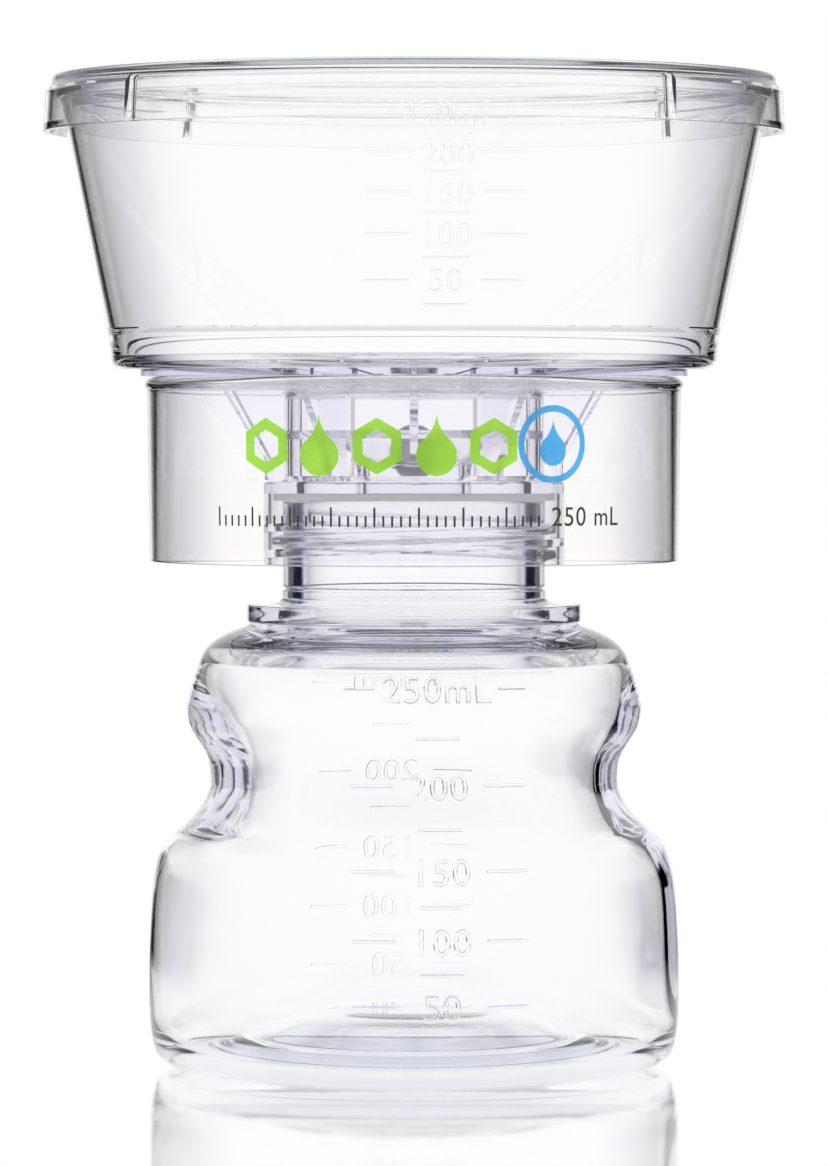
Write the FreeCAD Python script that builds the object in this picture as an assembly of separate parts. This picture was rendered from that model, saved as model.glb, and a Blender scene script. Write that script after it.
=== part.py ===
import FreeCAD, Part
import math
import os

V = FreeCAD.Vector

# ---------------------------------------------------------------------------
# Vacuum filtration unit: a lidded 250 mL funnel on a threaded filter head,
# screwed onto a 250 mL receiver bottle.
# Millimetres, +Z up, origin at the centre of the bottle's standing ring.
# The printed front of the skirt faces -Y and the vacuum nozzle points to +Y.
# ---------------------------------------------------------------------------

# --- receiver bottle ---
BOTTLE_TURN = 5.8            # how far round (deg) the bottle stops on its thread
STAND_R_IN, STAND_R_OUT = 31.6, 34.0
MID_Z0, MID_Z1 = 24.0, 63.1  # stretch with the waisted grips
# outer (z, r) below and above the waisted stretch, and the inside of the base and shoulder
LOW_PROFILE = [(0.0, 34.0), (0.12, 35.9), (0.35, 37.5), (0.75, 38.75), (1.4, 39.75), (2.4, 40.5), (3.9, 41.0), (5.4, 41.27),
               (7.2, 41.45), (10.8, 41.6), (14.0, 41.6), (17.5, 41.57), (21.0, 41.47), (24.0, 41.35)]
TOP_PROFILE = [(63.1, 33.85), (64.3, 33.45), (65.3, 32.9), (66.1, 32.2), (66.8, 31.4), (67.4, 30.5), (67.9, 29.6), (68.35, 28.6),
               (68.75, 27.5), (69.15, 26.4), (69.7, 25.6)]
LOW_INNER = [(1.62, 34.4), (1.8, 35.6), (2.2, 36.9), (2.8, 37.9), (3.6, 38.7), (4.8, 39.35), (6.4, 39.8), (8.5, 40.02), (11.0, 40.1),
             (14.0, 40.1), (17.5, 40.07), (21.0, 39.97), (24.0, 39.85)]
TOP_INNER = [(63.1, 32.25), (64.0, 31.7), (64.8, 31.0), (65.4, 30.2), (65.85, 29.2), (66.25, 27.8)]
WALL = 1.5                   # blown wall, away from its thicker sides
# outer radius at the grips (sides) and at the flat panels (front and back)
SIDE_PROFILE = [(24.0, 41.35), (26.5, 41.2), (30.3, 40.75), (32.3, 40.3), (34.5, 39.55),
                (36.3, 38.15), (37.8, 36.2), (39.8, 34.25), (42.6, 32.75), (45.1, 32.05),
                (47.4, 32.15), (49.5, 32.9), (51.5, 34.2), (53.8, 35.4), (56.2, 35.8),
                (58.8, 35.3), (61.5, 34.45), (63.1, 33.85)]
PANEL_PROFILE = [(24.0, 41.35), (26.5, 41.2), (30.3, 40.9), (33.0, 40.55), (36.0, 40.0),
                 (39.0, 39.2), (42.0, 38.15), (45.0, 37.1), (48.0, 36.3), (51.0, 35.85),
                 (54.0, 35.6), (57.0, 35.3), (59.5, 34.95), (61.5, 34.45), (63.1, 33.85)]
GRIP_FROM, GRIP_TO = 26.0, 64.0   # degrees from the panel's centre where a grip starts, and is full

# --- bottle neck (45 mm finish, 4 mm pitch) ---
NECK_R, NECK_BORE_R, NECK_TOP = 20.65, 17.7, 89.2
RING_R, RING_Z0, RING_Z1 = 26.2, 69.7, 72.6
PITCH = 4.0
NECK_CREST_R = 22.3
NECK_THREAD_Z0, NECK_THREAD_TURNS = 80.7, 1.5
SOCKET_CREST_R = 20.95
SOCKET_THREAD_Z0, SOCKET_THREAD_TURNS = 80.7, 1.25

# --- filter base ---
PLATE_R, PLATE_TOP = 42.9, 110.9
TOWER_R_OUT, TOWER_R_IN = 20.4, 19.2
SOCKET_R_OUT, SOCKET_R_IN, SOCKET_Z0, SOCKET_Z1 = 23.6, 22.5, 79.2, 92.3
SEAT_Z = 90.4                # ceiling of the socket, where the seal sits
SPOUT_R_OUT, SPOUT_R_IN, SPOUT_Z0 = 9.0, 7.6, 89.9
GUSSETS, GUSSET_T = 12, 1.2
RIB_T = 0.9

# --- vacuum port, at the back ---
PORT_Z = 97.0
STUB_R, STUB_END = 3.4, 43.4
STUB_BORE_R, PASSAGE_R = 2.3, 1.6
STUB_BORE_FROM = 30.0
NOZZLE_BORE_R, NOZZLE_END = 1.5, 62.0

# --- skirt ---
SKIRT_TOP, SKIRT_BOTTOM = 108.3, 79.4
SKIRT_R_TOP, SKIRT_R_BOTTOM, SKIRT_T = 41.9, 41.45, 1.5
SKIRT_T_BOTTOM = 1.0                                # the wall thins downwards
SKIRT_HOLE_R = 38.0
SKIRT_PORT_R = 3.6

# --- label film on the back of the skirt ---
LABEL_Z0, LABEL_Z1, LABEL_HALF_DEG, LABEL_T = 80.6, 93.0, 69.0, 0.1

# --- funnel ---
FUNNEL_BOTTOM, FUNNEL_TOP = 109.4, 153.3
FLANGE_R, FLANGE_Z0 = 56.0, 151.4
FUNNEL_T = 1.3
LEDGE_R = 43.0
MEMBRANE_R, MEMBRANE_T = 44.8, 0.2

# --- lid ---
LID_TOP, LID_BOTTOM = 155.3, 146.5
NOTCH_AZ = [-48.0, 42.0, 132.0, 222.0]   # degrees from the front, towards +X


# ---------------------------------------------------------------- helpers
def wire_rz(items):
    """A closed wire in the XZ plane from (r, z) corners; ("arc", mid, end) bends through mid,
    ("spline", p1, p2, ...) runs smoothly from the last point through the ones given."""
    first = last = V(items[0][0], 0, items[0][1])
    edges = []
    for it in items[1:]:
        if it[0] == "arc":
            a, b = V(it[1][0], 0, it[1][1]), V(it[2][0], 0, it[2][1])
            edges.append(Part.Arc(last, a, b).toShape())
            last = b
        elif it[0] == "spline":
            pts = [last] + [V(p[0], 0, p[1]) for p in it[1:]]
            c = Part.BSplineCurve()
            c.interpolate(pts)
            edges.append(c.toShape())
            last = pts[-1]
        else:
            b = V(it[0], 0, it[1])
            edges.append(Part.makeLine(last, b))
            last = b
    if last.distanceToPoint(first) > 1e-6:
        edges.append(Part.makeLine(last, first))
    return Part.Wire(edges)


def solid_of(shape):
    """The solid, turned outside out if it came out inside out."""
    s = shape.Solids[0] if shape.Solids else Part.makeSolid(shape.Shells[0])
    if s.Volume < 0:
        s.reverse()
    return s


def revolve(items, axis=V(0, 0, 1)):
    return solid_of(Part.Face(wire_rz(items)).revolve(V(0, 0, 0), axis, 360))


def revolve_y(items, z):
    """Turned about a line along +Y at height z. items are (r, y)."""
    s = revolve(items)                       # about Z first
    s.rotate(V(0, 0, 0), V(1, 0, 0), -90)    # +Z to +Y
    s.translate(V(0, 0, z))
    return s


def front_angle(az):
    """Azimuth from the front (-Y) towards +X, in degrees, as an ordinary angle about Z."""
    return az - 90.0


def pchip(table, x):
    """Monotone cubic through (x, y) rows."""
    n = len(table)
    if x <= table[0][0]:
        return table[0][1]
    if x >= table[-1][0]:
        return table[-1][1]
    h = [table[i + 1][0] - table[i][0] for i in range(n - 1)]
    d = [(table[i + 1][1] - table[i][1]) / h[i] for i in range(n - 1)]
    m = [d[0]] + [0.0] * (n - 2) + [d[-1]]
    for i in range(1, n - 1):
        if d[i - 1] * d[i] > 0:
            w1, w2 = 2 * h[i] + h[i - 1], h[i] + 2 * h[i - 1]
            m[i] = (w1 + w2) / (w1 / d[i - 1] + w2 / d[i])
    for i in range(n - 1):
        if x <= table[i + 1][0]:
            t = (x - table[i][0]) / h[i]
            return ((2 * t ** 3 - 3 * t ** 2 + 1) * table[i][1] + (t ** 3 - 2 * t ** 2 + t) * h[i] * m[i]
                    + (-2 * t ** 3 + 3 * t ** 2) * table[i + 1][1] + (t ** 3 - t ** 2) * h[i] * m[i + 1])


def grip_share(az):
    """0 on the front and back panels, 1 at the grips on the sides."""
    a = abs((az + 180.0) % 360.0 - 180.0)
    a = min(a, 180.0 - a)
    t = min(max((a - GRIP_FROM) / (GRIP_TO - GRIP_FROM), 0.0), 1.0)
    return t * t * (3 - 2 * t)


def ease(x, a, b):
    t = min(max((x - a) / (b - a), 0.0), 1.0)
    return t * t * (3 - 2 * t)


def thicker(az, z):
    """How much more than WALL the blown wall measures: most at the two grips; lower down, more on the right than on the left."""
    a = (az + 180.0) % 360.0 - 180.0
    side = abs(abs(a) - 90.0)                     # degrees from the middle of the nearer grip
    grip = ease(z, 28.0, 42.0) * (1.0 - ease(z, 52.0, 62.9))
    low = ease(z, 6.0, 16.0) * (1.0 - ease(z, 30.0, 44.0))
    return 1.3 * grip * (1.0 - ease(side, 8.0, 40.0)) + (0.7 if a > 0 else -0.35) * low * (1.0 - ease(side, 3.0, 26.0))


def body_radius(az, z, inset=0.0):
    """Radius of the bottle's body at azimuth az (deg from its own front) and height z.
    inset is the wall thickness, taken off square to the profile."""
    def one(table):
        r = pchip(table, z)
        if inset:
            za, zb = max(z - 0.25, MID_Z0), min(z + 0.25, MID_Z1)
            slope = (pchip(table, zb) - pchip(table, za)) / (zb - za)
            r -= inset * math.sqrt(1 + slope * slope)
        return r
    w = grip_share(az)
    r = one(PANEL_PROFILE) * (1 - w) + one(SIDE_PROFILE) * w
    return r - thicker(az, z) if inset else r


def walk(table, step):
    """Points along a (z, r) line, about one step apart, both ends included."""
    run = [0.0]
    for (z0, r0), (z1, r1) in zip(table, table[1:]):
        run.append(run[-1] + math.hypot(z1 - z0, r1 - r0))
    n = int(round(run[-1] / step))
    out, k = [], 0
    for i in range(n + 1):
        s = run[-1] * i / n
        while k < len(table) - 2 and run[k + 1] < s:
            k += 1
        t = (s - run[k]) / (run[k + 1] - run[k])
        out.append((table[k][0] + (table[k + 1][0] - table[k][0]) * t, table[k][1] + (table[k + 1][1] - table[k][1]) * t))
    return out


def body_skin(low, top, inset=0.0, steps=48, rows=23):
    """The bottle's body from the standing ring to the shoulder: one smooth surface over a net of poles, closed by two flat discs."""
    net = [(z, (lambda az, z=z, r=r: r - thicker(az, z)) if inset and z > 6.0 else (lambda az, r=r: r)) for z, r in walk(low, 1.5)[:-1]]
    for i in range(rows + 1):
        z = MID_Z0 + (MID_Z1 - MID_Z0) * i / rows
        net.append((z, lambda az, z=z: body_radius(az, z, inset)))
    net += [(z, lambda az, r=r: r) for z, r in walk(top, 1.4)[1:]]
    swell = 6.0 / (4.0 + 2.0 * math.cos(2 * math.pi / steps))     # poles stand a little outside the surface they hold
    poles = []
    for i in range(steps):
        az = 360.0 * i / steps
        a = math.radians(front_angle(az))
        poles.append([V(r(az) * swell * math.cos(a), r(az) * swell * math.sin(a), z) for z, r in net])
    nv = len(net)
    surface = Part.BSplineSurface()
    surface.buildFromPolesMultsKnots(poles, [1] * (steps + 1), [4] + [1] * (nv - 4) + [4],
                                     [float(i) for i in range(steps + 1)], [float(i) for i in range(nv - 2)], True, False, 3, 3)
    side = surface.toShape()
    caps = [Part.Face(Part.Wire([e])) for e in side.Edges if e.BoundBox.ZLength < 1e-4]
    shell = Part.Shell([side] + caps)
    shell.sewShape()
    return solid_of(Part.Solid(Part.Shell(shell.Faces)))


def ridge(r_root, r_crest, half_root, half_crest, z0, turns, start_deg):
    """A helical thread ridge whose centre line starts at height z0. Its flanks run on 0.4 mm into the wall behind r_root."""
    back = -0.4 if r_crest > r_root else 0.4
    half_back = half_root + (half_root - half_crest) / abs(r_crest - r_root) * abs(back)
    spine = Part.Wire(Part.makeHelix(PITCH, PITCH * turns, r_root).Edges)
    p = [V(r_root + back, 0, -half_back), V(r_crest, 0, -half_crest), V(r_crest, 0, half_crest), V(r_root + back, 0, half_back)]
    prof = Part.makePolygon(p + [p[0]])
    s = solid_of(spine.makePipeShell([prof], True, True))
    s.translate(V(0, 0, z0))
    s.rotate(V(0, 0, 0), V(0, 0, 1), start_deg)
    return s


def prism_rz(pts, thickness, angle):
    """A flat plate standing on a radius: (r, z) outline, centred on the given angle about Z."""
    w = Part.makePolygon([V(r, -thickness / 2, z) for r, z in pts] + [V(pts[0][0], -thickness / 2, pts[0][1])])
    s = Part.Face(w).extrude(V(0, thickness, 0))
    s.rotate(V(0, 0, 0), V(0, 0, 1), angle)
    return s


def largest(shape):
    """The one solid of a result."""
    return max(shape.Solids, key=lambda s: s.Volume)


def clean(shape):
    s = largest(shape)
    try:
        r = s.removeSplitter()
        if r.isValid() and len(r.Solids) == 1:
            return r.Solids[0]
    except Exception:
        pass
    return s


parts = {}

# ---------------------------------------------------------------- receiver bottle
# push-up under the base, cut from below; the same dome on the inside, 1.3 mm higher
push_up = revolve([
    (0, -1.0), (STAND_R_IN + 0.1, -1.0), (STAND_R_IN, 0),
    ("spline", (30.4, 0.5), (29.2, 1.7), (26.8, 3.1), (21.5, 5.2), (17.8, 6.8), (15.2, 7.45), (12.5, 7.6)),
    (0, 7.45),
])
dome = revolve([
    (0, -1.0), (32.2, -1.0), (32.2, 1.3),
    ("spline", (30.4, 2.2), (28.2, 3.75), (23.0, 5.9), (18.2, 8.05), (15.4, 8.75), (12.5, 8.9)),
    (0, 8.75),
])
neck = revolve([
    (0, RING_Z0 - 0.6), (24.6, RING_Z0 - 0.6), (24.6, RING_Z0), (RING_R - 0.1, RING_Z0), (RING_R, RING_Z0 + 0.1),
    (RING_R, RING_Z1 - 0.15), (RING_R - 0.15, RING_Z1), (21.9, RING_Z1 + 0.15),
    ("arc", (21.05, 72.95), (20.75, 73.7)),
    (20.75, 74.7), (20.35, 74.95), (20.35, 75.25), (NECK_R, 75.5),
    (NECK_R, NECK_TOP - 0.6), ("arc", (NECK_R - 0.18, NECK_TOP - 0.18), (NECK_R - 0.6, NECK_TOP)),
    (0, NECK_TOP),
])
bore = revolve([
    (0, 62.0), (26.0, 62.0), (26.0, 66.35),
    ("spline", (23.6, 66.9), (20.6, 68.3), (18.6, 70.4), (NECK_BORE_R, 72.9)),
    (NECK_BORE_R, NECK_TOP + 1.0), (0, NECK_TOP + 1.0),
])
neck = largest(neck.fuse(ridge(NECK_R, NECK_CREST_R, 1.15, 0.45, NECK_THREAD_Z0, NECK_THREAD_TURNS, -20.0)))
bottle = body_skin(LOW_PROFILE, TOP_PROFILE).cut(push_up)
bottle = largest(bottle.fuse(neck))
bottle = bottle.cut(body_skin(LOW_INNER, TOP_INNER, WALL).cut(dome))
bottle = largest(bottle).cut(bore)
bottle = clean(bottle)
bottle.rotate(V(0, 0, 0), V(0, 0, 1), BOTTLE_TURN)
parts["receiver_bottle"] = bottle

# ---------------------------------------------------------------- filter base (one lavender moulding)
base = revolve([
    (41.2, PLATE_TOP), (PLATE_R, PLATE_TOP), (PLATE_R, 108.35), (SKIRT_HOLE_R - 0.1, 108.35),
    (SKIRT_HOLE_R - 0.1, 106.9), (TOWER_R_OUT + 1.2, 106.3), ("arc", (TOWER_R_OUT + 0.35, 105.95), (TOWER_R_OUT, 105.1)),
    (TOWER_R_OUT, SOCKET_Z1), (SOCKET_R_OUT - 0.6, SOCKET_Z1),
    ("arc", (SOCKET_R_OUT - 0.18, SOCKET_Z1 - 0.18), (SOCKET_R_OUT, SOCKET_Z1 - 0.6)),
    (SOCKET_R_OUT, SOCKET_Z0), (SOCKET_R_IN, SOCKET_Z0), (SOCKET_R_IN, SEAT_Z), (17.3, SEAT_Z),
    (17.3, SOCKET_Z1 - 0.4), (TOWER_R_IN, SOCKET_Z1 + 0.8),
    (TOWER_R_IN, 98.9), (SPOUT_R_OUT + 0.9, 95.6), ("arc", (SPOUT_R_OUT + 0.3, 95.1), (SPOUT_R_OUT, 94.3)),
    (SPOUT_R_OUT, SPOUT_Z0), (SPOUT_R_IN, SPOUT_Z0), (SPOUT_R_IN, 95.9), (TOWER_R_IN, 100.2),
    (TOWER_R_IN, 107.9), (TOWER_R_IN + 0.5, 108.3), (41.2, 109.7),
])
extras = []
for i in range(GUSSETS):
    extras.append(prism_rz([(20.1, 107.2), (34.0, 107.2), (33.5, 106.5), (26.2, 95.3), (26.2, 92.5),
                            (23.2, 92.5), (23.2, 91.9), (20.1, 91.9)], GUSSET_T, front_angle(30.0 * i)))
for i in range(12):
    extras.append(prism_rz([(1.0, 107.9), (19.0, 107.9), (30.0, 108.3), (37.0, 108.75), (41.5, 109.2), (41.5, PLATE_TOP - 0.05),
                            (1.0, PLATE_TOP - 0.05)], RIB_T, front_angle(30.0 * i + 15.0)))
    extras.append(prism_rz([(23.0, 108.0), (30.0, 108.3), (37.0, 108.75), (41.5, 109.2), (41.5, PLATE_TOP - 0.05),
                            (23.0, PLATE_TOP - 0.05)], RIB_T, front_angle(30.0 * i)))
extras.append(Part.makeCylinder(2.4, PLATE_TOP - 0.05 - 107.9, V(0, 0, 107.9)))
extras.append(Part.makeCylinder(11.0, 2.0, V(0, 0, PLATE_TOP - 2.05)).cut(Part.makeCylinder(10.1, 3.0, V(0, 0, PLATE_TOP - 2.5))))
# two round moulded pads on the front of the tower, and two on the back
for sx in (-12.0, 12.0):
    for sy in (-1, 1):
        extras.append(Part.makeCylinder(1.75, 3.2, V(sx, sy * 15.9, 93.9), V(0, sy, 0)))
# port stub at the back
extras.append(Part.makeCylinder(STUB_R, STUB_END - 19.8, V(0, 19.8, PORT_Z), V(0, 1, 0)))
base = base.multiFuse(extras)
base = base.cut(Part.makeCylinder(PASSAGE_R, STUB_BORE_FROM - 17.5 + 0.1, V(0, 17.5, PORT_Z), V(0, 1, 0)))
base = base.cut(Part.makeCylinder(STUB_BORE_R, STUB_END - STUB_BORE_FROM + 1, V(0, STUB_BORE_FROM, PORT_Z), V(0, 1, 0)))
# inner thread of the socket, half a pitch out of step with the neck's ridge
base = base.fuse(ridge(SOCKET_R_IN, SOCKET_CREST_R, 0.62, 0.35, SOCKET_THREAD_Z0, SOCKET_THREAD_TURNS,
                       -20.0 + BOTTLE_TURN + 180.0))
parts["filter_base"] = clean(base)

# ---------------------------------------------------------------- seal on the bottle's rim
parts["neck_seal"] = revolve([(18.0, NECK_TOP + 0.05), (22.1, NECK_TOP + 0.05), (22.1, SEAT_Z - 0.05), (18.0, SEAT_Z - 0.05)])

# ---------------------------------------------------------------- vacuum port pieces
parts["port_filter"] = revolve_y([(0, STUB_BORE_FROM + 0.1), (STUB_BORE_R - 0.02, STUB_BORE_FROM + 0.1),
                                  (STUB_BORE_R - 0.02, 34.2), (0, 34.2)], PORT_Z)
barb = [(NOZZLE_BORE_R, 34.5), (STUB_BORE_R - 0.02, 34.5), (STUB_BORE_R - 0.02, STUB_END + 0.05), (4.6, STUB_END + 0.05),
        (4.6, STUB_END + 1.35), (4.35, STUB_END + 1.6), (3.0, STUB_END + 1.6), (3.0, 50.0)]
for k in range(3):
    y = 50.0 + 4.0 * k
    barb += [(3.9, y + 0.05), (3.9, y + 0.45), (2.6 if k == 2 else 3.0, y + 4.0)]
barb[-1] = (2.6, NOZZLE_END)
barb += [(NOZZLE_BORE_R, NOZZLE_END)]
parts["hose_barb"] = revolve_y(barb, PORT_Z)

# ---------------------------------------------------------------- skirt
skirt = revolve([
    (SKIRT_HOLE_R, 106.85), (SKIRT_HOLE_R, SKIRT_TOP), (40.2, SKIRT_TOP),
    ("arc", (41.65, 107.85), (42.25, 107.0)), (42.2, 106.75), (SKIRT_R_TOP, 106.45),
    (SKIRT_R_BOTTOM, SKIRT_BOTTOM + 0.2), (SKIRT_R_BOTTOM - 0.2, SKIRT_BOTTOM),
    (SKIRT_R_BOTTOM - SKIRT_T_BOTTOM, SKIRT_BOTTOM), (SKIRT_R_TOP - SKIRT_T, 106.0),
    ("arc", (40.15, 106.6), (39.5, 106.85)),
])
skirt = skirt.cut(Part.makeCylinder(SKIRT_PORT_R, 12.0, V(0, 35.0, PORT_Z), V(0, 1, 0)))
parts["skirt"] = clean(skirt)


# label film: a strip of the skirt's own cone, laid on its back, with rounded corners
def skirt_radius(z):
    t = (z - SKIRT_BOTTOM - 0.2) / (106.45 - SKIRT_BOTTOM - 0.2)
    return SKIRT_R_BOTTOM + (SKIRT_R_TOP - SKIRT_R_BOTTOM) * t


lo, hi = skirt_radius(LABEL_Z0), skirt_radius(LABEL_Z1)
g = 0.01
strip = Part.Face(wire_rz([(lo + g, LABEL_Z0), (lo + g + LABEL_T, LABEL_Z0), (hi + g + LABEL_T, LABEL_Z1), (hi + g, LABEL_Z1)]))
strip = strip.revolve(V(0, 0, 0), V(0, 0, 1), 2 * LABEL_HALF_DEG)
strip.rotate(V(0, 0, 0), V(0, 0, 1), 90.0 - LABEL_HALF_DEG)
corners = []
for side in (-1, 1):
    a = 90.0 + side * LABEL_HALF_DEG
    n = V(math.cos(math.radians(a)), math.sin(math.radians(a)), 0)
    c_deg = a - side * math.degrees(2.0 / lo)
    cdir = V(math.cos(math.radians(c_deg)), math.sin(math.radians(c_deg)), 0)
    for z, s in ((LABEL_Z0, 1), (LABEL_Z1, -1)):
        centre = cdir * 38.0 + V(0, 0, z + s * 2.0)
        tangent = V(-cdir.y, cdir.x, 0) * side
        blk = Part.makePolygon([centre, centre + tangent * 4, centre + tangent * 4 + V(0, 0, -s * 4), centre + V(0, 0, -s * 4), centre])
        blk = Part.Face(blk).extrude(cdir * 8.0)
        blk = blk.cut(Part.makeCylinder(2.0, 8.0, centre, cdir))
        corners.append(blk)
parts["rear_label"] = clean(strip.cut(corners))

# ---------------------------------------------------------------- funnel
wall_out = lambda z: 48.2 + (55.45 - 48.2) * (z - 115.8) / (151.3 - 115.8)
funnel = revolve([
    (FLANGE_R - 0.3, FUNNEL_TOP), ("arc", (FLANGE_R - 0.09, FUNNEL_TOP - 0.09), (FLANGE_R, FUNNEL_TOP - 0.3)),
    (FLANGE_R, FLANGE_Z0 + 0.1), (wall_out(FLANGE_Z0), FLANGE_Z0 - 0.1),
    (48.2, 115.8), (47.95, 115.6), (47.9, 114.8), (47.8, 114.65), (47.45, 111.1),
    ("arc", (47.0, 109.95), (45.7, FUNNEL_BOTTOM)), (LEDGE_R, FUNNEL_BOTTOM), (LEDGE_R, PLATE_TOP),
    (45.6, PLATE_TOP), ("arc", (46.1, 111.15), (46.3, 111.7)),
    (48.2 - FUNNEL_T - 0.1, 114.9), (48.2 - FUNNEL_T, 115.8),
    (wall_out(151.9) - FUNNEL_T, 151.9), (54.6, FUNNEL_TOP - 0.25), (54.85, FUNNEL_TOP),
])
parts["funnel"] = clean(funnel)
parts["membrane"] = Part.makeCylinder(MEMBRANE_R, MEMBRANE_T, V(0, 0, PLATE_TOP + 0.02))

# ---------------------------------------------------------------- lid
lid = revolve([
    (0, LID_TOP), (55.8, LID_TOP), ("arc", (56.35, LID_TOP - 0.2), (56.6, LID_TOP - 0.7)),
    (56.7, 154.1), ("arc", (57.35, 153.45), (57.75, 152.4)), (58.1, 147.0), (58.1, LID_BOTTOM + 0.15), (57.95, LID_BOTTOM),
    (57.1, LID_BOTTOM), (56.9, 147.0), (56.75, 152.2), ("arc", (56.55, 153.0), (56.1, 153.35)),
    (53.4, 153.35), (53.4, 150.2), (53.2, 150.0), (52.5, 150.0), (52.4, 150.2), (52.4, 153.9), ("arc", (52.3, 154.05), (52.1, 154.1)),
    (0, 154.1),
])
ribs, grooves = [], []
for az in NOTCH_AZ:
    a = math.radians(front_angle(az))
    d = V(math.cos(a), math.sin(a), 0)
    ribs.append(Part.makeCylinder(0.95, 5.6, d * 57.3 + V(0, 0, 147.6)))
    grooves.append(Part.makeCylinder(0.75, 6.4, d * 58.15 + V(0, 0, 147.7)))
lid = lid.multiFuse(ribs).cut(grooves)
parts["lid"] = clean(lid)

# ---------------------------------------------------------------- write
os.makedirs("parts", exist_ok=True)
for name, shape in parts.items():
    ok = shape.isValid()
    bb = shape.BoundBox
    print("%-16s valid=%s solids=%d volume=%.1f mm3  x %.2f..%.2f y %.2f..%.2f z %.2f..%.2f" % (
        name, ok, len(shape.Solids), shape.Volume, bb.XMin, bb.XMax, bb.YMin, bb.YMax, bb.ZMin, bb.ZMax))
    shape.exportStep("parts/%s.step" % name)
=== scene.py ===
import math

import bpy
import numpy as np
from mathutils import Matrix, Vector
from mathutils.geometry import delaunay_2d_cdt


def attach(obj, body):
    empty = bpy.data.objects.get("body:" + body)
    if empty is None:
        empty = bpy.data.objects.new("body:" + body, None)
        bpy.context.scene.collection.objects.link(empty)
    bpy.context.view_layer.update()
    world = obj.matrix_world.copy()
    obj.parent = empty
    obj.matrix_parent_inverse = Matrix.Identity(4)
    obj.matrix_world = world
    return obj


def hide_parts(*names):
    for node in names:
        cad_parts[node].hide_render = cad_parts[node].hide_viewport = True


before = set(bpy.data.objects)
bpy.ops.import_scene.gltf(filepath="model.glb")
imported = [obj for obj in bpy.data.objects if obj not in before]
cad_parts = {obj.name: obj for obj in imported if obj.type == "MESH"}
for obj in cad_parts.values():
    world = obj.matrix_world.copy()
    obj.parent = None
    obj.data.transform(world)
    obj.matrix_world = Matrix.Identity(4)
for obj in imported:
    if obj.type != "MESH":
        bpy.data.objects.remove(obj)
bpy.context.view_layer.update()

# The looks of a vacuum filtration unit: a clear lid and funnel, a lavender filter base inside a clear skirt,
# and a clear blown bottle. Lengths below are in millimetres until a mesh is written, which is in metres.

MM = 0.001
COLS = 240                      # columns round the clear turned pieces
BOTTLE_TURN = 5.8
sc = bpy.context.scene


# ---------------------------------------------------------------- camera
cam_data = bpy.data.cameras.new("camera")
cam = bpy.data.objects.new("camera", cam_data)
sc.collection.objects.link(cam)
sc.camera = cam
cam_data.sensor_fit = "AUTO"
cam_data.sensor_width = 36.0
cam_data.lens = 193.5
cam_data.clip_start, cam_data.clip_end = 0.05, 50.0
cam.location = (0.0, -0.984, 0.1024)
cam.rotation_euler = (Vector((0.0, 0.0, 0.0759)) - cam.location).to_track_quat("-Z", "Y").to_euler()


# ---------------------------------------------------------------- shapes shared with the CAD model
MID_Z0, MID_Z1 = 24.0, 63.1
LOW_PROFILE = [(0.0, 34.0), (0.12, 35.9), (0.35, 37.5), (0.75, 38.75), (1.4, 39.75), (2.4, 40.5), (3.9, 41.0), (5.4, 41.27),
               (7.2, 41.45), (10.8, 41.6), (14.0, 41.6), (17.5, 41.57), (21.0, 41.47), (24.0, 41.35)]
TOP_PROFILE = [(63.1, 33.85), (64.3, 33.45), (65.3, 32.9), (66.1, 32.2), (66.8, 31.4), (67.4, 30.5), (67.9, 29.6), (68.35, 28.6),
               (68.75, 27.5), (69.15, 26.4), (69.7, 25.6)]
LOW_INNER = [(1.62, 34.4), (1.8, 35.6), (2.2, 36.9), (2.8, 37.9), (3.6, 38.7), (4.8, 39.35), (6.4, 39.8), (8.5, 40.02), (11.0, 40.1),
             (14.0, 40.1), (17.5, 40.07), (21.0, 39.97), (24.0, 39.85)]
TOP_INNER = [(63.1, 32.25), (64.0, 31.7), (64.8, 31.0), (65.4, 30.2), (65.85, 29.2), (66.25, 27.8)]
WALL = 1.5
SIDE_PROFILE = [(24.0, 41.35), (26.5, 41.2), (30.3, 40.75), (32.3, 40.3), (34.5, 39.55),
                (36.3, 38.15), (37.8, 36.2), (39.8, 34.25), (42.6, 32.75), (45.1, 32.05),
                (47.4, 32.15), (49.5, 32.9), (51.5, 34.2), (53.8, 35.4), (56.2, 35.8),
                (58.8, 35.3), (61.5, 34.45), (63.1, 33.85)]
PANEL_PROFILE = [(24.0, 41.35), (26.5, 41.2), (30.3, 40.9), (33.0, 40.55), (36.0, 40.0),
                 (39.0, 39.2), (42.0, 38.15), (45.0, 37.1), (48.0, 36.3), (51.0, 35.85),
                 (54.0, 35.6), (57.0, 35.3), (59.5, 34.95), (61.5, 34.45), (63.1, 33.85)]
GRIP_FROM, GRIP_TO = 26.0, 64.0
NECK_R, NECK_BORE_R, NECK_TOP = 20.65, 17.7, 89.2
RING_R, RING_Z0, RING_Z1 = 26.2, 69.7, 72.6
PITCH = 4.0


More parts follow.
